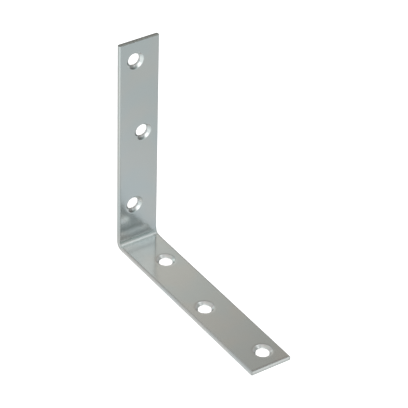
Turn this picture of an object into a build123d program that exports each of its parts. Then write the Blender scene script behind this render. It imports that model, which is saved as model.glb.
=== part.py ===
from build123d import *

import os

# Angle bracket: one zinc-plated steel strip, folded square, with three
# countersunk screw holes in each leg. Millimetres, +Z up. The base leg lies on
# the XY plane and runs along +X, the upright leg rises along +Z, and the origin
# is the middle of the base leg's underside.

# Overall sizes, taken over the outer faces
BASE_LENGTH = 100.0
UPRIGHT_LENGTH = 100.0
STRIP_WIDTH = 19.0
STRIP_THICKNESS = 2.0

# Rolled long edges, and the broken edge of the two sheared ends
ROLLED_EDGE_RADIUS = 0.7
END_EDGE_RADIUS = 0.2

# The fold: the metal spreads sideways where it is squeezed on the inside, draws
# in where it is stretched on the outside, and eases back to the plain strip
FOLD_INNER_RADIUS = 1.5
FOLD_SPREAD = 0.45
FOLD_DRAW_IN = 0.2
FOLD_EASE_LENGTH = 2.0
EASE_STEPS = 3

# Screw holes, counted from each leg's free end and set left and right in turn
HOLES_PER_LEG = 3
END_HOLE_DISTANCE = 8.7
HOLE_PITCH = 35.3
HOLE_STAGGER = 2.0
HOLE_DIAMETER = 5.4
COUNTERSINK_DIAMETER = 8.1
COUNTERSINK_ANGLE = 110.0
THROAT_RADIUS = 0.4

# Places that follow from those sizes
OUTER_FACE_X = -BASE_LENGTH / 2
FOLD_HEIGHT = STRIP_THICKNESS + FOLD_INNER_RADIUS
FOLD_X = OUTER_FACE_X + FOLD_HEIGHT
FOLD_AXIS = Axis((FOLD_X, 0, FOLD_HEIGHT), (0, 1, 0))
BASE_FLAT_LENGTH = BASE_LENGTH - FOLD_HEIGHT - FOLD_EASE_LENGTH
UPRIGHT_FLAT_LENGTH = UPRIGHT_LENGTH - FOLD_HEIGHT - FOLD_EASE_LENGTH
SPREAD_WIDTH = STRIP_WIDTH + 2 * FOLD_SPREAD
DRAWN_WIDTH = STRIP_WIDTH - 2 * FOLD_DRAW_IN


def base_section_plane(from_fold):
    """Plane across the base leg, that far from the fold, with its y from outer to inner face."""
    return Plane(origin=(FOLD_X + from_fold, 0, 0), x_dir=(0, 1, 0), z_dir=(1, 0, 0))


def upright_section_plane(from_fold):
    """Plane across the upright leg, that far from the fold, with its y from outer to inner face."""
    return Plane(
        origin=(OUTER_FACE_X, 0, FOLD_HEIGHT + from_fold),
        x_dir=(0, -1, 0),
        z_dir=(0, 0, 1),
    )


def strip_section(plane, inner_width, outer_width):
    """The strip cut across: flat faces and rolled edges."""
    with BuildSketch(plane, mode=Mode.PRIVATE) as section:
        with BuildLine():
            Polyline(
                (-outer_width / 2, 0),
                (outer_width / 2, 0),
                (inner_width / 2, STRIP_THICKNESS),
                (-inner_width / 2, STRIP_THICKNESS),
                close=True,
            )
        make_face()
        fillet(section.vertices(), ROLLED_EDGE_RADIUS)
    return section.sketch


def easing_sections(section_plane):
    """Sections from the fold, where the strip is spread, out to the plain strip."""
    sections = []
    for step in range(EASE_STEPS + 1):
        share = step / EASE_STEPS
        spread = 1 - share * share * (3 - 2 * share)
        sections.append(
            strip_section(
                section_plane(share * FOLD_EASE_LENGTH),
                STRIP_WIDTH + 2 * FOLD_SPREAD * spread,
                STRIP_WIDTH - 2 * FOLD_DRAW_IN * spread,
            )
        )
    return sections


def hole_places(leg_length, first_side):
    """Screw hole centres on a leg: distance from the outer corner, and offset to one side."""
    places = []
    for number in range(HOLES_PER_LEG):
        along = leg_length - END_HOLE_DISTANCE - number * HOLE_PITCH
        side = first_side if number % 2 == 0 else -first_side
        places.append((along, side * HOLE_STAGGER))
    return places


with BuildPart() as angle_bracket:
    # Flat lengths of the two legs
    extrude(
        strip_section(base_section_plane(FOLD_EASE_LENGTH), STRIP_WIDTH, STRIP_WIDTH),
        amount=BASE_FLAT_LENGTH,
    )
    extrude(
        strip_section(upright_section_plane(FOLD_EASE_LENGTH), STRIP_WIDTH, STRIP_WIDTH),
        amount=UPRIGHT_FLAT_LENGTH,
    )

    # The fold, a quarter turn of the spread section
    revolve(
        strip_section(base_section_plane(0), SPREAD_WIDTH, DRAWN_WIDTH),
        axis=FOLD_AXIS,
        revolution_arc=90,
    )

    # The spread section eases into each leg
    loft(easing_sections(base_section_plane))
    loft(easing_sections(upright_section_plane))

    # Broken edges round the two sheared ends
    base_end = angle_bracket.faces().sort_by(Axis.X)[-1]
    upright_end = angle_bracket.faces().sort_by(Axis.Z)[-1]
    fillet(base_end.edges() + upright_end.edges(), END_EDGE_RADIUS)

    # Screw holes, pressed in from the inner faces: a countersink that rounds over
    # into the straight land below it, its throat the second of each hole's three
    # rings counted from the outer face
    base_inner_face = Plane(
        origin=(OUTER_FACE_X, 0, STRIP_THICKNESS),
        x_dir=(1, 0, 0),
        z_dir=(0, 0, 1),
    )
    upright_inner_face = Plane(
        origin=(OUTER_FACE_X + STRIP_THICKNESS, 0, 0),
        x_dir=(0, 0, 1),
        z_dir=(1, 0, 0),
    )
    for inner_face, leg_length, through_axis in (
        (base_inner_face, BASE_LENGTH, Axis.Z),
        (upright_inner_face, UPRIGHT_LENGTH, Axis.X),
    ):
        with Locations(inner_face):
            with Locations(*hole_places(leg_length, first_side=1)):
                CounterSinkHole(
                    HOLE_DIAMETER / 2,
                    COUNTERSINK_DIAMETER / 2,
                    counter_sink_angle=COUNTERSINK_ANGLE,
                )
        rings = angle_bracket.edges(Select.LAST).filter_by(GeomType.CIRCLE)
        fillet(rings.group_by(through_axis)[1], THROAT_RADIUS)

angle_bracket.part.label = "angle_bracket"

os.makedirs("parts", exist_ok=True)
export_step(angle_bracket.part, "parts/angle_bracket.step")
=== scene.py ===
from math import atan2, hypot, radians

import bpy
from bpy.props import FloatProperty, FloatVectorProperty, PointerProperty
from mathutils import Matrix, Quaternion, Vector


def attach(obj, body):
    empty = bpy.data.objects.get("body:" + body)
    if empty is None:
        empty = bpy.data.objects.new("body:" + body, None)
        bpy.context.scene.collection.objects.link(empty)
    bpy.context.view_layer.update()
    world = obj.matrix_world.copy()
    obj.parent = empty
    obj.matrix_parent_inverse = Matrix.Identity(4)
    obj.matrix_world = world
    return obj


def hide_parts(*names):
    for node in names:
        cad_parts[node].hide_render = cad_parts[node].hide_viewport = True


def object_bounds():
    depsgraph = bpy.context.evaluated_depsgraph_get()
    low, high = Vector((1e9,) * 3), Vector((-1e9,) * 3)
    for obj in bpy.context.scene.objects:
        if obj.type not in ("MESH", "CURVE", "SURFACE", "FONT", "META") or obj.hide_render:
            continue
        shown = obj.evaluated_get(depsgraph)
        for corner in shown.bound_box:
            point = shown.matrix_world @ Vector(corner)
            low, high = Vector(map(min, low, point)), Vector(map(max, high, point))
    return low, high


# Dresses a zinc-plated angle bracket for its picture: the folded strip gets its
# eased rims, sheared ends and plating, and stands on a pale studio floor.

bl_info = {
    "name": "Angle bracket",
    "version": (1, 0, 0),
    "blender": (4, 5, 0),
    "location": "View3D > Sidebar > Bracket",
    "description": "Finishes a folded steel strip bracket and sets it in a studio",
    "category": "Mesh",
}

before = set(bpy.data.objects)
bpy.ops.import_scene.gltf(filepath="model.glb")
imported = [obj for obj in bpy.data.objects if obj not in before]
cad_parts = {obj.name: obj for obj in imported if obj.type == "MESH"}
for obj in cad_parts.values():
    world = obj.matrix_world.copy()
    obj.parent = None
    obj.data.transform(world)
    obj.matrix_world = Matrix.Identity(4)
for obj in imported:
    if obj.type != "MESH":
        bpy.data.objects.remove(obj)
cad_low, cad_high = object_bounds()

STRIP_NODE = "angle_bracket"
STRIP_PLACE = "strip_place"
MM = 0.001


class BRACKET_PG_strip(bpy.types.PropertyGroup):
    """Sizes of the folded strip, read for the details that lie on it."""

    width: FloatProperty(
        name="Width",
        description="Width of the steel strip",
        default=19.0 * MM,
        unit="LENGTH",
    )
    thickness: FloatProperty(
        name="Thickness",
        description="Thickness of the steel strip",
        default=2.0 * MM,
        unit="LENGTH",
    )
    fold_radius: FloatProperty(
        name="Fold radius",
        description="Outer radius of the fold between the two legs",
        default=3.5 * MM,
        unit="LENGTH",
    )
    end_hole_distance: FloatProperty(
        name="End hole distance",
        description="From the free end of a leg to the middle of its first hole",
        default=8.7 * MM,
        unit="LENGTH",
    )
    hole_pitch: FloatProperty(
        name="Hole pitch",
        description="Distance along a leg from one hole to the next",
        default=35.3 * MM,
        unit="LENGTH",
    )
    hole_stagger: FloatProperty(
        name="Hole stagger",
        description="How far the holes lie to each side of the middle line",
        default=2.0 * MM,
        unit="LENGTH",
    )
    throat_radius: FloatProperty(
        name="Throat radius",
        description="Radius of a hole below its countersink",
        default=2.7 * MM,
        unit="LENGTH",
    )
    rim_radius: FloatProperty(
        name="Rim radius",
        description="Radius of the countersink where it meets the face",
        default=4.05 * MM,
        unit="LENGTH",
    )
    rim_softening: FloatProperty(
        name="Rim softening",
        description="Width of the soft edge round each countersink",
        default=0.20 * MM,
        unit="LENGTH",
    )
    exit_softening: FloatProperty(
        name="Exit softening",
        description="Width of the soft edge where a hole leaves the outer face",
        default=0.10 * MM,
        unit="LENGTH",
    )
    tear_grid: FloatProperty(
        name="Tear grid",
        description="Size of the facets that the sheared ends are cut into",
        default=0.28 * MM,
        unit="LENGTH",
    )
    tear_sink: FloatProperty(
        name="Tear sink",
        description="How far the torn band of a sheared end sinks in at most",
        default=0.16 * MM,
        unit="LENGTH",
    )
    bow_length: FloatProperty(
        name="Bow length",
        description="How far up from the fold the upright leg bows from being bent",
        default=28.0 * MM,
        unit="LENGTH",
    )
    bow_height: FloatProperty(
        name="Bow height",
        description="How far the bow shades the upright leg up towards the fold",
        default=0.8 * MM,
        unit="LENGTH",
    )
    smooth_angle: FloatProperty(
        name="Smooth angle",
        description="Edges flatter than this angle are shaded smooth",
        default=radians(28),
        subtype="ANGLE",
    )


class BRACKET_PG_plating(bpy.types.PropertyGroup):
    """Colours and gloss of the zinc plating, with a painted sheen in the countersinks and a
    painted highlight inside the fold.
    """

    cool: FloatVectorProperty(
        name="Cool zinc",
        description="Colour of the blue-green patches of the plating",
        default=(0.585, 0.620, 0.612),
        subtype="COLOR",
    )
    warm: FloatVectorProperty(
        name="Warm zinc",
        description="Colour of the warmer patches of the plating",
        default=(0.612, 0.620, 0.598),
        subtype="COLOR",
    )
    # Partly painted: the punch's polish, and a painted sheen that brightens what the countersinks
    # mirror
    pressed: FloatVectorProperty(
        name="Pressed zinc",
        description="Colour of the countersinks: the punch's polish with a painted sheen",
        default=(0.65, 0.67, 0.66),
        subtype="COLOR",
    )
    # Painted highlight: a lighter zinc on the inside of the fold that stands in for the light
    # overhead mirrored there
    painted_fold_highlight: FloatVectorProperty(
        name="Painted fold highlight",
        description="Lighter colour painted on the inside of the fold as a highlight",
        default=(0.70, 0.74, 0.73),
        subtype="COLOR",
    )
    burnished_end: FloatVectorProperty(
        name="Burnished end",
        description="Colour of the smooth band on a sheared end",
        default=(0.37, 0.395, 0.38),
        subtype="COLOR",
    )
    torn_end: FloatVectorProperty(
        name="Torn end",
        description="Colour of the rough band on a sheared end",
        default=(0.325, 0.35, 0.335),
        subtype="COLOR",
    )
    roughness: FloatProperty(
        name="Roughness",
        description="Roughness of the plated faces",
        default=0.15,
        subtype="FACTOR",
    )


class BRACKET_PG_studio(bpy.types.PropertyGroup):
    """Camera, floor and light."""

    camera_place: FloatVectorProperty(
        name="Camera place",
        description="Where the camera stands",
        default=(0.5807, -0.4042, 0.5530),
        subtype="TRANSLATION",
    )
    camera_aim: FloatVectorProperty(
        name="Camera aim",
        description="The point that the camera looks at",
        default=(0.0004, -0.0001, 0.0495),
        subtype="TRANSLATION",
    )
    camera_roll: FloatProperty(
        name="Camera roll",
        description="How far the camera is turned about its own line of sight",
        default=radians(1.78),
        subtype="ANGLE",
    )
    camera_lens: FloatProperty(
        name="Lens",
        description="Focal length on a 36 mm sensor",
        default=193.0,
        unit="CAMERA",
    )
    floor_size: FloatProperty(
        name="Floor size",
        description="Side of the square floor",
        default=12.0,
        unit="LENGTH",
    )


class Nodes:
    """Adds nodes to a node tree and links them."""

    def __init__(self, tree):
        self.tree = tree
        tree.nodes.clear()

    def add(self, kind, settings=None, inputs=None):
        node = self.tree.nodes.new(kind)
        for name, value in (settings or {}).items():
            setattr(node, name, value)
        for name, value in (inputs or {}).items():
            self.feed(node.inputs[name], value)
        return node

    def feed(self, socket, value):
        if isinstance(value, bpy.types.NodeSocket):
            self.tree.links.new(value, socket)
        else:
            socket.default_value = value

    def math(self, operation, a, b=0.0):
        node = self.add("ShaderNodeMath", {"operation": operation})
        self.feed(node.inputs[0], a)
        self.feed(node.inputs[1], b)
        return node.outputs[0]

    def vector(self, operation, a, b=None, scale=None, out=0):
        node = self.add("ShaderNodeVectorMath", {"operation": operation})
        self.feed(node.inputs[0], a)
        if b is not None:
            self.feed(node.inputs[1], b)
        if scale is not None:
            self.feed(node.inputs["Scale"], scale)
        return node.outputs[out]

    def times(self, *values):
        product = values[0]
        for value in values[1:]:
            product = self.math("MULTIPLY", product, value)
        return product

    def total(self, *values):
        result = values[0]
        for value in values[1:]:
            result = self.math("ADD", result, value)
        return result

    def remap(self, value, from_min, from_max, to_min, to_max, kind="SMOOTHSTEP"):
        node = self.add(
            "ShaderNodeMapRange",
            {"interpolation_type": kind},
            {
                "Value": value,
                "From Min": from_min,
                "From Max": from_max,
                "To Min": to_min,
                "To Max": to_max,
            },
        )
        return node.outputs["Result"]

    def fade(self, value, start, full):
        """Rises smoothly from 0 where it starts to 1 where it is full."""
        return self.remap(value, start, full, 0.0, 1.0)

    def mix_colour(self, share, a, b):
        node = self.add("ShaderNodeMix", {"data_type": "RGBA"})
        self.feed(node.inputs[0], share)
        self.feed(node.inputs[6], a)
        self.feed(node.inputs[7], b)
        return node.outputs[2]


def deselect_all():
    bpy.ops.object.select_all(action="DESELECT")


def colour(value):
    return (*value, 1.0)


class StripNodes(Nodes):
    """Nodes that know their place on the unfolded strip, in millimetres."""

    def __init__(self, tree, strip):
        super().__init__(tree)
        place = self.add(
            "ShaderNodeAttribute",
            {"attribute_name": STRIP_PLACE},
        ).outputs["Vector"]
        self.place = self.vector("SCALE", place, scale=1 / MM)
        parts = self.add("ShaderNodeSeparateXYZ", inputs={"Vector": self.place}).outputs
        self.along = parts["X"]
        self.across = parts["Y"]
        self.depth = parts["Z"]

        quarter = radians(90) * (strip.fold_radius - strip.thickness / 2) / MM
        self.up_the_upright = self.math("SUBTRACT", -quarter, self.along)
        self.from_fold = self.math("MAXIMUM", self.along, self.up_the_upright)
        leg_length = (cad_high.x - cad_low.x - strip.fold_radius) / MM
        self.from_end = self.math("SUBTRACT", leg_length, self.from_fold)

        side = self.math("SIGN", self.math("ADD", self.along, quarter / 2))
        past_first = self.math("SUBTRACT", self.from_end, strip.end_hole_distance / MM)
        pitch = strip.hole_pitch / MM
        number = self.math("ROUND", self.math("DIVIDE", past_first, pitch))
        odd = self.math("MODULO", number, 2.0)
        turn = self.math("SUBTRACT", 1.0, self.math("MULTIPLY", odd, 2.0))
        stagger = self.math("MULTIPLY", side, strip.hole_stagger / MM)
        beside = self.math("SUBTRACT", self.across, self.math("MULTIPLY", turn, stagger))
        before = self.math("SUBTRACT", past_first, self.math("MULTIPLY", number, pitch))
        from_centre = self.add("ShaderNodeCombineXYZ", inputs={"X": before, "Y": beside})
        self.hole_reach = self.vector("LENGTH", from_centre.outputs[0], out=1)

    def noise(self, name, place=None):
        """Noise as listed in NOISES, over the strip unless another place is given."""
        scale, detail, roughness = NOISES[name]
        place = self.place if place is None else place
        return self.add(
            "ShaderNodeTexNoise",
            inputs={
                "Vector": self.vector("MULTIPLY", place, scale),
                "Scale": 1.0,
                "Detail": detail,
                "Roughness": roughness,
            },
        ).outputs["Fac"]


# Noise in the plating: its scale along, across and through the strip, in turns per
# millimetre, then its detail and its roughness
NOISES = {
    "patches": ((0.055, 0.055, 0.055), 2.0, 0.45),
    "roll lines": ((0.06, 2.4, 2.4), 3.0, 0.6),
    "grain": ((0.9, 0.9, 0.9), 4.0, 0.55),
    "torn grain": ((4.0, 4.0, 2.5), 4.0, 0.6),
    "tear line": ((0.3, 0.9, 0.1), 3.0, 0.6),
    "ripple wander": ((0.06, 0.16, 0.0), 2.0, 0.5),
    "punch rings": ((5.0, 0.0, 0.0), 2.0, 0.6),
    "nicks": ((0.5, 0.8, 0.2), 3.0, 0.7),
}

# Where each finish starts and is full, in millimetres from the leg's free end, the fold,
# the radius of the throat, the long edge, the rim's radius or the outer face
END_FACE = (0.18, 0.05)
BENT = (1.2, -0.4)
WORKED = (26.0, 6.0)
LAND = (0.2, 0.05)
ROLLED_EDGE = (1.1, 0.5)
RIM_FADE = 0.05
UNDER_FACE = (0.0, 0.1)

# Painted highlight on the inside of the fold, a lighter zinc where it mirrors the light overhead,
# in millimetres along the strip and up from its outer face
FOLD_HIGHLIGHT_FROM_UPRIGHT = (-2.1, -0.6)
FOLD_HIGHLIGHT_FROM_BASE = (1.8, 0.6)
FOLD_HIGHLIGHT_DEPTH = (1.5, 1.9)

# The torn band of a sheared end, in millimetres up from the outer face
TORN_BAND = (1.15, 0.95)
TEAR_WANDER = 1.2

# The noise up to which a patch is cool zinc, and from which it is warm
TINT = (0.40, 0.62)

# How much rougher than the rolled faces each finish is, and how far the roll lines vary it
ROUGHER = {
    "roll lines": 0.10,
    "pressed": 0.05,
    "land": 0.05,
    "rolled edge": 0.25,
    "bent": 0.20,
    "worked": 0.01,
    "burnished end": 0.10,
    "torn end": 0.20,
}

# Ripples that the bending left beside the fold: where they set in, their radians per
# millimetre, how far they wander and are shifted, and how much of them the base leg shows
RIPPLED = (9.0, 5.0)
RIPPLE_TURN = 1.25
RIPPLE_WANDER = 3.0
RIPPLE_SHIFT = -0.25
RIPPLE_SIDE = (-1.0, -3.0)
RIPPLES_ON_BASE = 0.15

# Heights and reaches of the relief, in millimetres
BOW_START = -2.0
RIPPLE_HEIGHT = 0.016
DISH_REACH = 0.9
DISH_DEPTH = 0.010
ROLL_OFF = (0.2, 0.95)
ROLL_OFF_DEPTH = 0.045
RING_HEIGHT = 0.004
TORN_HEIGHT = 0.02
LINE_HEIGHT = 0.0005
GRAIN_HEIGHT = 0.0006
BENT_GRAIN_HEIGHT = 0.003
# The noise at which the nicks set in and are full, and how much of the roll-off they leave
NICKS = (0.35, 0.65)
NICKED_ROLL_OFF = (0.2, 1.6)


def plated_steel(plating, strip):
    """Zinc plating over rolled, folded, sheared and pressed steel strip."""
    material = bpy.data.materials.new("zinc_plating")
    material.use_nodes = True
    nodes = StripNodes(material.node_tree, strip)

    # Where on the strip each finish lies
    end = nodes.fade(nodes.from_end, *END_FACE)
    rim_radius = strip.rim_radius / MM
    throat_radius = strip.throat_radius / MM
    inside_rim = nodes.fade(nodes.hole_reach, rim_radius + RIM_FADE, rim_radius - RIM_FADE)
    pressed = nodes.times(inside_rim, nodes.fade(nodes.depth, *UNDER_FACE))
    land_start, land_full = (throat_radius + reach for reach in LAND)
    land = nodes.fade(nodes.hole_reach, land_start, land_full)
    bent = nodes.fade(nodes.from_fold, *BENT)
    worked = nodes.fade(nodes.from_fold, *WORKED)
    edge_start, edge_full = (strip.width / 2 / MM - reach for reach in ROLLED_EDGE)
    rolled_edge = nodes.fade(nodes.math("ABSOLUTE", nodes.across), edge_start, edge_full)
    # Painted highlight: the inside of the fold, which is given a lighter zinc for the light it
    # mirrors
    painted_fold_highlight = nodes.times(
        nodes.fade(nodes.along, *FOLD_HIGHLIGHT_FROM_UPRIGHT),
        nodes.fade(nodes.along, *FOLD_HIGHLIGHT_FROM_BASE),
        nodes.fade(nodes.depth, *FOLD_HIGHLIGHT_DEPTH),
    )
    tear_line = nodes.times(nodes.noise("tear line"), TEAR_WANDER)
    torn = nodes.fade(nodes.total(nodes.depth, tear_line, -TEAR_WANDER / 2), *TORN_BAND)

    # Patches of cool and warm zinc, lighter zinc in the countersinks (the punch's polish and a
    # painted sheen), a painted highlight inside the fold, and the ends: a burnished band from the
    # blade above a torn one
    tint = nodes.fade(nodes.noise("patches"), *TINT)
    base = nodes.mix_colour(tint, colour(plating.cool), colour(plating.warm))
    base = nodes.mix_colour(pressed, base, colour(plating.pressed))
    base = nodes.mix_colour(painted_fold_highlight, base, colour(plating.painted_fold_highlight))
    end_colour = nodes.mix_colour(torn, colour(plating.burnished_end), colour(plating.torn_end))
    base = nodes.mix_colour(end, base, end_colour)

    # Relief: bow and ripples from the bending, dishes and rings from the punch, nicked ends,
    # and the fine lines and grain that the rolls left
    bow_length = strip.bow_length / MM
    bow_height = strip.bow_height / MM
    bow = nodes.remap(nodes.up_the_upright, BOW_START, bow_length, bow_height, 0.0)
    phase = nodes.total(
        nodes.times(nodes.from_fold, RIPPLE_TURN),
        nodes.times(nodes.noise("ripple wander"), RIPPLE_WANDER),
        RIPPLE_SHIFT,
    )
    near_fold = nodes.times(
        nodes.fade(nodes.from_fold, *RIPPLED),
        nodes.remap(nodes.along, *RIPPLE_SIDE, RIPPLES_ON_BASE, 1.0),
    )
    dish = nodes.remap(nodes.hole_reach, rim_radius, rim_radius + DISH_REACH, -DISH_DEPTH, 0.0)
    from_hole = nodes.vector("SCALE", (1.0, 0.0, 0.0), scale=nodes.hole_reach)
    rings = nodes.noise("punch rings", from_hole)
    roll_off = nodes.remap(nodes.from_end, *ROLL_OFF, -ROLL_OFF_DEPTH, 0.0)
    lines = nodes.noise("roll lines")
    grain_height = nodes.remap(bent, 0.0, 1.0, GRAIN_HEIGHT, BENT_GRAIN_HEIGHT, "LINEAR")
    relief = nodes.total(
        bow,
        nodes.times(nodes.math("SINE", phase), near_fold, RIPPLE_HEIGHT),
        dish,
        nodes.times(rings, pressed, RING_HEIGHT),
        nodes.times(roll_off, nodes.remap(nodes.noise("nicks"), *NICKS, *NICKED_ROLL_OFF)),
        nodes.times(nodes.noise("torn grain"), end, torn, TORN_HEIGHT),
        nodes.times(lines, LINE_HEIGHT),
        nodes.times(nodes.noise("grain"), grain_height),
    )
    bump = nodes.add(
        "ShaderNodeBump",
        inputs={"Strength": 1.0, "Distance": MM, "Height": relief},
    ).outputs["Normal"]

    end_roughness = nodes.remap(
        torn, 0.0, 1.0, ROUGHER["burnished end"], ROUGHER["torn end"], "LINEAR"
    )
    roughness = nodes.total(
        plating.roughness,
        nodes.times(nodes.total(lines, -0.5), ROUGHER["roll lines"]),
        nodes.times(pressed, ROUGHER["pressed"]),
        nodes.times(land, ROUGHER["land"]),
        nodes.times(rolled_edge, ROUGHER["rolled edge"]),
        nodes.times(bent, ROUGHER["bent"]),
        nodes.times(worked, ROUGHER["worked"]),
        nodes.times(end, end_roughness),
    )
    shader = nodes.add(
        "ShaderNodeBsdfPrincipled",
        inputs={
            "Base Color": base,
            "Metallic": 1.0,
            "Roughness": roughness,
            "Normal": bump,
        },
    )
    nodes.add("ShaderNodeOutputMaterial", inputs={"Surface": shader.outputs[0]})
    return material


def record_strip_place(piece, strip):
    """Stores each point's place on the unfolded strip: along, across and through it."""
    mesh = piece.data
    outer_x = cad_low.x
    fold_x = outer_x + strip.fold_radius
    fold_z = cad_low.z + strip.fold_radius
    middle_radius = strip.fold_radius - strip.thickness / 2
    places = mesh.attributes.new(STRIP_PLACE, "FLOAT_VECTOR", "POINT")
    for vertex, place in zip(mesh.vertices, places.data):
        x, y, z = vertex.co
        if x >= fold_x and z <= x - outer_x + cad_low.z:
            place.vector = (x - fold_x, y, z - cad_low.z)
        elif z >= fold_z:
            quarter = radians(90) * middle_radius
            place.vector = (-quarter - (z - fold_z), y, x - outer_x)
        else:
            turn = atan2(fold_x - x, fold_z - z)
            depth = strip.fold_radius - hypot(fold_x - x, fold_z - z)
            place.vector = (-turn * middle_radius, y, depth)


HOLES_PER_LEG = 3
# How close to a ring or to the face of an end a point lies to count as on it
RING_SLACK = 0.02 * MM
FACE_SLACK = 0.01 * MM
MERGE_DISTANCE = 0.001 * MM
# Faces that turn by less than this are merged into one flat face
FLAT_TURN = radians(0.3)
# The least cosine at which a face counts as square to a direction
SQUARE_ON = 0.999


def hole_rings(strip):
    """Rings where the holes meet the faces: centre, axis, radius and width of softening."""
    rings = []
    for number in range(HOLES_PER_LEG):
        reach = strip.end_hole_distance + number * strip.hole_pitch
        side = strip.hole_stagger if number % 2 == 0 else -strip.hole_stagger
        on_base = Vector((cad_high.x - reach, side, cad_low.z))
        on_upright = Vector((cad_low.x, -side, cad_high.z - reach))
        for centre, axis in ((on_base, Vector((0, 0, 1))), (on_upright, Vector((1, 0, 0)))):
            inner = centre + strip.thickness * axis
            rings.append((inner, axis, strip.rim_radius, strip.rim_softening))
            rings.append((centre, axis, strip.throat_radius, strip.exit_softening))
    return rings


def soften_rings(piece, rings, width):
    """Bevels the rings that are to be softened by that width."""
    vertices = piece.data.vertices
    on_ring = set()
    for vertex in vertices:
        for centre, axis, radius, softening in rings:
            offset = vertex.co - centre
            height = offset.dot(axis)
            miss = (offset - height * axis).length - radius
            if softening == width and max(abs(height), abs(miss)) < RING_SLACK:
                on_ring.add(vertex.index)
    for edge in piece.data.edges:
        first, second = edge.vertices
        near = (vertices[first].co - vertices[second].co).length < MM
        edge.select = first in on_ring and second in on_ring and near
    bpy.ops.object.mode_set(mode="EDIT")
    bpy.ops.mesh.bevel(offset=width, segments=3, affect="EDGES")
    bpy.ops.mesh.select_all(action="DESELECT")
    bpy.ops.object.mode_set(mode="OBJECT")


def grid_end(piece, place, normal, depth_axis, strip):
    """Cuts the flat face of a sheared end into a fine grid."""
    bpy.ops.mesh.select_mode(type="FACE")
    bpy.ops.object.mode_set(mode="OBJECT")
    for face in piece.data.polygons:
        level = (face.center - place).dot(normal)
        face.select = face.normal.dot(normal) > SQUARE_ON and abs(level) < FACE_SLACK
    bpy.ops.object.mode_set(mode="EDIT")
    bpy.ops.mesh.hide(unselected=True)
    across = Vector((0, 1, 0))
    for axis, reach in ((across, strip.width), (depth_axis, strip.thickness)):
        cuts = round(reach / strip.tear_grid)
        for cut in range(1, cuts):
            shift = (cut / cuts - 0.5) * reach
            bpy.ops.mesh.select_all(action="SELECT")
            bpy.ops.mesh.bisect(plane_co=place + shift * axis, plane_no=axis)
    bpy.ops.mesh.reveal(select=False)
    bpy.ops.mesh.select_all(action="DESELECT")


# The torn band, in millimetres: how far it keeps from the outline of the end and over how
# much it sets in there, how far past the middle it reaches and over how much it ends there,
# and the size of its lumps
TORN_INSET = 0.35
TORN_INSET_FADE = 0.3
TORN_REACH = 0.15
TORN_REACH_FADE = 0.25
TORN_LUMPS = 0.8


def share_of(value, full):
    """How much of the full value is reached, from 0 to 1."""
    return min(max(value / full, 0.0), 1.0)


def tear_ends(piece, strip):
    """Sinks the torn band of both sheared ends unevenly, below the blade's smooth band."""
    half = strip.thickness / 2
    base_end = Vector((cad_high.x, 0, cad_low.z + half))
    upright_end = Vector((cad_low.x + half, 0, cad_high.z))
    up, out = Vector((0, 0, 1)), Vector((1, 0, 0))
    bpy.ops.object.mode_set(mode="EDIT")
    grid_end(piece, base_end, out, up, strip)
    grid_end(piece, upright_end, up, out, strip)
    bpy.ops.object.mode_set(mode="OBJECT")

    record_strip_place(piece, strip)
    for place, normal, depth_axis, name in (
        (base_end, out, up, "X"),
        (upright_end, up, out, "Z"),
    ):
        torn = piece.vertex_groups.new(name="torn_" + name.lower())
        for vertex in piece.data.vertices:
            offset = vertex.co - place
            depth = offset.dot(depth_axis)
            side = strip.width / 2 - abs(offset.y)
            inside = min(depth + half, side) / MM - TORN_INSET
            below = TORN_REACH - depth / MM
            share = share_of(inside, TORN_INSET_FADE) * share_of(below, TORN_REACH_FADE)
            if abs(offset.dot(normal)) < MERGE_DISTANCE and share > 0.0:
                torn.add([vertex.index], share, "REPLACE")
        metal = bpy.data.textures.new("torn_metal_" + name.lower(), "CLOUDS")
        metal.noise_scale = TORN_LUMPS * MM
        metal.noise_depth = 3
        sink = piece.modifiers.new("sink_torn_band", "DISPLACE")
        sink.texture = metal
        sink.texture_coords = "LOCAL"
        sink.vertex_group = torn.name
        sink.direction = name
        sink.mid_level = 0.0
        sink.strength = -strip.tear_sink
        bpy.ops.object.modifier_apply(modifier=sink.name)


class BRACKET_OT_plated_strip(bpy.types.Operator):
    """Make the plated strip from a merged copy of the bracket's solid"""

    bl_idname = "bracket.plated_strip"
    bl_label = "Plated strip"

    def execute(self, context):
        strip = context.scene.bracket_strip
        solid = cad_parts[STRIP_NODE]
        deselect_all()
        piece = bpy.data.objects.new("plated_strip", solid.data.copy())
        context.scene.collection.objects.link(piece)
        piece.select_set(True)
        context.view_layer.objects.active = piece
        bpy.ops.mesh.customdata_custom_splitnormals_clear()

        bpy.ops.object.mode_set(mode="EDIT")
        bpy.ops.mesh.select_all(action="SELECT")
        bpy.ops.mesh.remove_doubles(threshold=MERGE_DISTANCE)
        bpy.ops.mesh.dissolve_limited(angle_limit=FLAT_TURN)
        bpy.ops.mesh.select_all(action="DESELECT")
        bpy.ops.mesh.select_mode(type="EDGE")
        bpy.ops.object.mode_set(mode="OBJECT")

        rings = hole_rings(strip)
        soften_rings(piece, rings, strip.rim_softening)
        soften_rings(piece, rings, strip.exit_softening)
        tear_ends(piece, strip)
        bpy.ops.object.shade_smooth_by_angle(angle=strip.smooth_angle)
        piece.modifiers.new("flat_faces_stay_flat", "WEIGHTED_NORMAL").keep_sharp = True

        piece.data.materials.clear()
        piece.data.materials.append(plated_steel(context.scene.bracket_plating, strip))
        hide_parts(STRIP_NODE)
        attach(piece, "root")
        return {"FINISHED"}


# The floor's paint, and the glow that makes the painted floor white to the camera
FLOOR_PAINT = (0.76, 0.76, 0.76)
FLOOR_WHITE = 0.78
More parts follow.
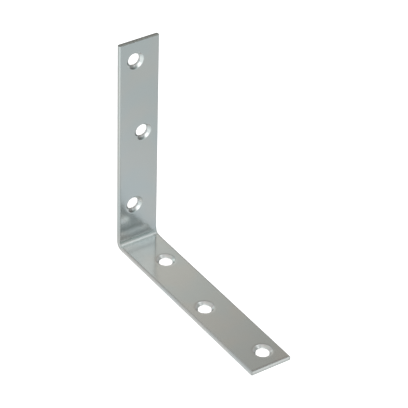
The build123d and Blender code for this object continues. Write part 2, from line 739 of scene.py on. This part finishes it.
# Painted reflections: what the metal sees of the floor besides its paint, a glow on each stretch,
# and how bright each stretch of it is
FLOOR_GLOWS = {
    "far back": (0.09, 0.12, 0.13),
    "near back": (0.06, 0.07, 0.09),
    "far front left": (0.24, 0.235, 0.235),
    "front pool": (0.33, 0.4, 0.41),
    "far front pool": (0.29, 0.27, 0.26),
    "along the front": (0.33, 0.29, 0.28),
    "past the end": (1.06, 0.97, 0.98),
    "through the holes": (1.03, 0.92, 0.9),
}


# Where each stretch of the floor starts and is full, in metres from the middle of the foot
FRONT = (0.0, -0.020)
RIGHT = (-0.075, -0.030)
POOL = (-0.012, -0.030)
FAR_POOL = (-0.035, -0.090)
NEAR_BACK = (0.070, 0.010)
# Strips of floor close beside the foot, in metres from its outline
BESIDE_REACH = 0.010
BESIDE_FULL = 0.001
BESIDE_EDGE = 0.0005
# The floor under the foot, which glows in the metal where the foot shades it: how far inside its
# outline, and from how near it is seen
UNDERNEATH = (-0.002, -0.003)
SEEN_NEAR = (0.008, 0.005)
SEEN_LEAST = 0.08


def beside_foot(nodes, gap, side_gap):
    """The strip of floor beside one side of the foot, by how far out from two sides it is."""
    return nodes.times(
        nodes.fade(gap, BESIDE_REACH, BESIDE_FULL),
        nodes.fade(gap, -BESIDE_EDGE, BESIDE_EDGE),
        nodes.fade(side_gap, BESIDE_REACH, 0.0),
    )


def floor_glow(nodes, place, reach):
    """Adds up the painted glows on stretches of the floor, which only the metal sees, as it sees
    them from that far.
    """
    parts = nodes.add("ShaderNodeSeparateXYZ", inputs={"Vector": place}).outputs
    x, y = parts["X"], parts["Y"]
    past_front = nodes.math("SUBTRACT", -cad_high.y, y)
    past_side = nodes.math("SUBTRACT", nodes.math("ABSOLUTE", y), cad_high.y)
    past_end = nodes.math("SUBTRACT", x, cad_high.x)
    past_either_end = nodes.math("SUBTRACT", nodes.math("ABSOLUTE", x), cad_high.x)

    front = nodes.fade(y, *FRONT)
    back = nodes.math("SUBTRACT", 1.0, front)
    right = nodes.fade(x, *RIGHT)
    left = nodes.math("SUBTRACT", 1.0, right)
    shares = {
        "far back": back,
        "near back": nodes.times(back, nodes.fade(y, *NEAR_BACK)),
        "far front left": nodes.times(front, left),
        "front pool": nodes.times(right, nodes.fade(y, *POOL)),
        "far front pool": nodes.times(right, nodes.fade(y, *FAR_POOL)),
        "along the front": beside_foot(nodes, past_front, past_either_end),
        "past the end": beside_foot(nodes, past_end, past_side),
        "through the holes": nodes.times(
            nodes.fade(past_either_end, *UNDERNEATH),
            nodes.fade(past_side, *UNDERNEATH),
            nodes.remap(reach, *SEEN_NEAR, SEEN_LEAST, 1.0),
        ),
    }
    level = (0.0, 0.0, 0.0)
    for name, share in shares.items():
        part = nodes.vector("SCALE", FLOOR_GLOWS[name], scale=share)
        level = nodes.vector("ADD", level, part)
    return level


def studio_floor(size):
    """Pale floor that renders white, keeps a soft shadow and shows in the metal with painted
    glows.
    """
    bpy.ops.mesh.primitive_plane_add(size=size, location=(0, 0, cad_low.z))
    floor = bpy.context.active_object
    floor.name = "studio_floor"
    material = bpy.data.materials.new("studio_floor")
    material.use_nodes = True
    nodes = Nodes(material.node_tree)
    light_path = nodes.add("ShaderNodeLightPath")
    place = nodes.add("ShaderNodeTexCoord").outputs["Object"]
    seen = floor_glow(nodes, place, light_path.outputs["Ray Length"])
    in_metal = nodes.vector("SCALE", seen, scale=light_path.outputs["Is Glossy Ray"])
    white = (FLOOR_WHITE, FLOOR_WHITE, FLOOR_WHITE)
    to_camera = nodes.vector("SCALE", white, scale=light_path.outputs["Is Camera Ray"])
    glow = nodes.vector("ADD", in_metal, to_camera)
    paint = nodes.add("ShaderNodeBsdfDiffuse", inputs={"Color": colour(FLOOR_PAINT)})
    emission = nodes.add("ShaderNodeEmission", inputs={"Color": glow, "Strength": 1.0})
    both = nodes.add("ShaderNodeAddShader")
    nodes.feed(both.inputs[0], paint.outputs[0])
    nodes.feed(both.inputs[1], emission.outputs[0])
    nodes.add("ShaderNodeOutputMaterial", inputs={"Surface": both.outputs[0]})
    floor.data.materials.append(material)


# Soft lights round the bracket: which way each lies, at how many degrees from there it has
# faded out, and how bright it is
SOFT_LIGHTS = (
    ("low right", (0.99, 0.0, 0.14), 40, (1.04, 1.12, 1.12)),
    ("low back right", (0.306, 0.942, 0.14), 40, (0.22, 0.22, 0.22)),
    ("low back left", (-0.306, 0.942, 0.14), 40, (0.4, 0.41, 0.42)),
    ("low left back", (-0.801, 0.582, 0.14), 40, (0.23, 0.18, 0.17)),
    ("low left", (-0.99, 0.0, 0.14), 40, (0.66, 0.62, 0.58)),
    ("low left front", (-0.801, -0.582, 0.14), 40, (0.55, 0.55, 0.58)),
    ("low front left", (-0.306, -0.942, 0.14), 40, (0.4, 0.44, 0.48)),
    ("low front right", (0.306, -0.942, 0.14), 40, (0.52, 0.58, 0.61)),
    ("low right front", (0.801, -0.582, 0.14), 40, (0.9, 0.93, 0.94)),
    ("middle back right", (0.302, 0.73, 0.616), 40, (0.39, 0.41, 0.4)),
    ("middle back left", (-0.302, 0.73, 0.616), 40, (0.41, 0.38, 0.35)),
    ("middle left back", (-0.73, 0.302, 0.616), 40, (0.18, 0.18, 0.16)),
    ("middle left front", (-0.73, -0.302, 0.616), 40, (0.44, 0.41, 0.41)),
    ("middle front left", (-0.302, -0.73, 0.616), 40, (0.62, 0.61, 0.58)),
    ("middle front right", (0.302, -0.73, 0.616), 40, (0.58, 0.65, 0.66)),
    ("middle right front", (0.73, -0.302, 0.616), 40, (1.0, 1.05, 1.06)),
    ("high right", (0.325, 0.187, 0.927), 40, (0.62, 0.63, 0.63)),
    ("high back", (-0.187, 0.325, 0.927), 40, (0.23, 0.19, 0.21)),
    ("high left", (-0.325, -0.188, 0.927), 40, (0.43, 0.45, 0.44)),
    ("high front", (0.188, -0.325, 0.927), 40, (0.53, 0.48, 0.46)),
    ("narrow high back", (0.58, 0.44, 0.69), 20, (0.98, 1.01, 1.04)),
    ("narrow low back right", (0.86, 0.43, 0.26), 18, (0.27, 0.42, 0.4)),
    ("narrow front", (0.88, -0.4, 0.22), 22, (0.43, 0.41, 0.42)),
    ("narrow front high", (0.914, -0.13, 0.377), 20, (0.72, 0.65, 0.65)),
    ("narrow left", (-0.76, 0.37, 0.53), 16, (0.83, 0.86, 0.85)),
    ("narrow left high", (-0.67, 0.02, 0.74), 20, (0.12, 0.14, 0.18)),
    ("narrow high right", (0.35, 0.44, 0.83), 18, (0.22, 0.19, 0.18)),
    ("narrow high middle", (0.1, 0.44, 0.89), 18, (0.87, 1.0, 1.01)),
    ("corner", (0.655, 0.435, 0.618), 8, (0.39, 0.38, 0.41)),
)


def studio_dome():
    """World of soft lights round the bracket, plain white behind it."""
    world = bpy.data.worlds.new("studio_dome")
    bpy.context.scene.world = world
    world.use_nodes = True
    nodes = Nodes(world.node_tree)
    direction = nodes.add("ShaderNodeTexCoord").outputs["Generated"]
    level = (0.0, 0.0, 0.0)
    for _, aim, outer, brightness in SOFT_LIGHTS:
        near = nodes.vector("DOT_PRODUCT", direction, Vector(aim).normalized(), out=1)
        angle = nodes.math("ARCCOSINE", near)
        share = nodes.fade(angle, radians(outer), 0.0)
        level = nodes.vector("ADD", level, nodes.vector("SCALE", brightness, scale=share))
    seen = nodes.add("ShaderNodeLightPath").outputs["Is Camera Ray"]
    shown = nodes.mix_colour(seen, level, (1.0, 1.0, 1.0, 1.0))
    background = nodes.add("ShaderNodeBackground", inputs={"Color": shown, "Strength": 1.0})
    nodes.add("ShaderNodeOutputWorld", inputs={"Surface": background.outputs[0]})


SENSOR_WIDTH = 36.0


def studio_camera(studio):
    """Camera at the photographed angle."""
    bpy.ops.object.camera_add(location=studio.camera_place)
    camera = bpy.context.active_object
    camera.name = "camera"
    back = Vector(studio.camera_place) - Vector(studio.camera_aim)
    roll = Quaternion((0, 0, 1), studio.camera_roll)
    camera.rotation_mode = "QUATERNION"
    camera.rotation_quaternion = back.to_track_quat("Z", "Y") @ roll
    camera.data.sensor_width = SENSOR_WIDTH
    camera.data.lens = studio.camera_lens
    camera.data.clip_start = 0.01
    camera.data.clip_end = 50.0
    bpy.context.scene.camera = camera


class BRACKET_OT_studio(bpy.types.Operator):
    """Set up the floor, the light and the camera"""

    bl_idname = "bracket.studio"
    bl_label = "Studio"

    def execute(self, context):
        studio = context.scene.bracket_studio
        deselect_all()
        studio_floor(studio.floor_size)
        studio_dome()
        studio_camera(studio)
        context.scene.view_settings.view_transform = "Standard"
        return {"FINISHED"}


class BRACKET_PT_panel(bpy.types.Panel):
    """Lists the bracket's sizes and steps"""

    bl_idname = "BRACKET_PT_panel"
    bl_label = "Angle bracket"
    bl_space_type = "VIEW_3D"
    bl_region_type = "UI"
    bl_category = "Bracket"

    def draw(self, context):
        layout = self.layout
        scene = context.scene
        for group in (scene.bracket_strip, scene.bracket_plating, scene.bracket_studio):
            box = layout.box()
            for name in group.bl_rna.properties.keys():
                if name not in {"rna_type", "name"}:
                    box.prop(group, name)
        for operator in OPERATORS:
            layout.operator(operator.bl_idname)


OPERATORS = (BRACKET_OT_plated_strip, BRACKET_OT_studio)
GROUPS = {
    "bracket_strip": BRACKET_PG_strip,
    "bracket_plating": BRACKET_PG_plating,
    "bracket_studio": BRACKET_PG_studio,
}


def register():
    for group in GROUPS.values():
        bpy.utils.register_class(group)
    for operator in OPERATORS:
        bpy.utils.register_class(operator)
    bpy.utils.register_class(BRACKET_PT_panel)
    for name, group in GROUPS.items():
        setattr(bpy.types.Scene, name, PointerProperty(type=group))


def unregister():
    for name in GROUPS:
        delattr(bpy.types.Scene, name)
    bpy.utils.unregister_class(BRACKET_PT_panel)
    for operator in reversed(OPERATORS):
        bpy.utils.unregister_class(operator)
    for group in reversed(GROUPS.values()):
        bpy.utils.unregister_class(group)


def main():
    register()
    bpy.ops.bracket.plated_strip()
    bpy.ops.bracket.studio()


if __name__ == "__main__":
    main()
